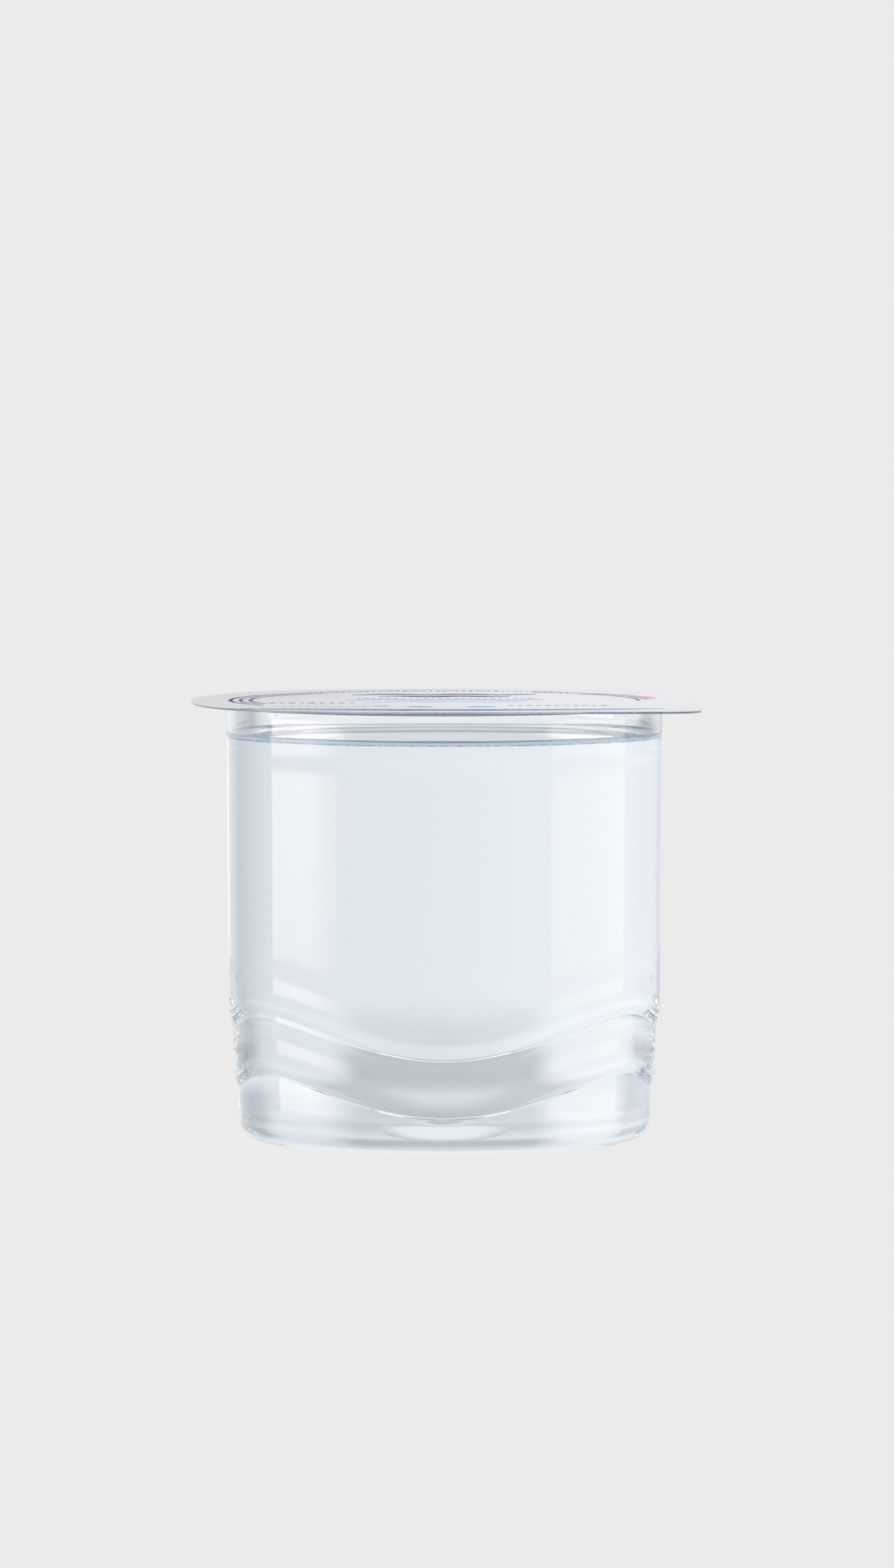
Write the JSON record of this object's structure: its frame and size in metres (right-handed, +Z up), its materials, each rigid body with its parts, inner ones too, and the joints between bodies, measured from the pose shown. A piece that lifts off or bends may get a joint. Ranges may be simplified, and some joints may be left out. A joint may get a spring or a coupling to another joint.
{
  "type": "sealed water cup",
  "caption": "Clear thin-walled plastic cup of drinking water with wave steps near its base, a flat flange and a sealed peel-off film lid with a pull corner.",
  "frame": {"origin": "centre of the base, on the surface that the cup stands on", "axes": "+Z up along the cup's axis, -Y to the front, where both wave steps dip, +X to the right, with the lid's pull corner at the front right"},
  "size_m": [0.077, 0.0768, 0.0672],
  "materials": {
    "clear_plastic": "clear gloss",
    "water": "clear liquid",
    "printed_film": "satin film with a plain print"
  },
  "bodies": {
    "root": {"cup": "clear_plastic", "water": "water", "lid": "printed_film"}
  },
  "joints": []
}
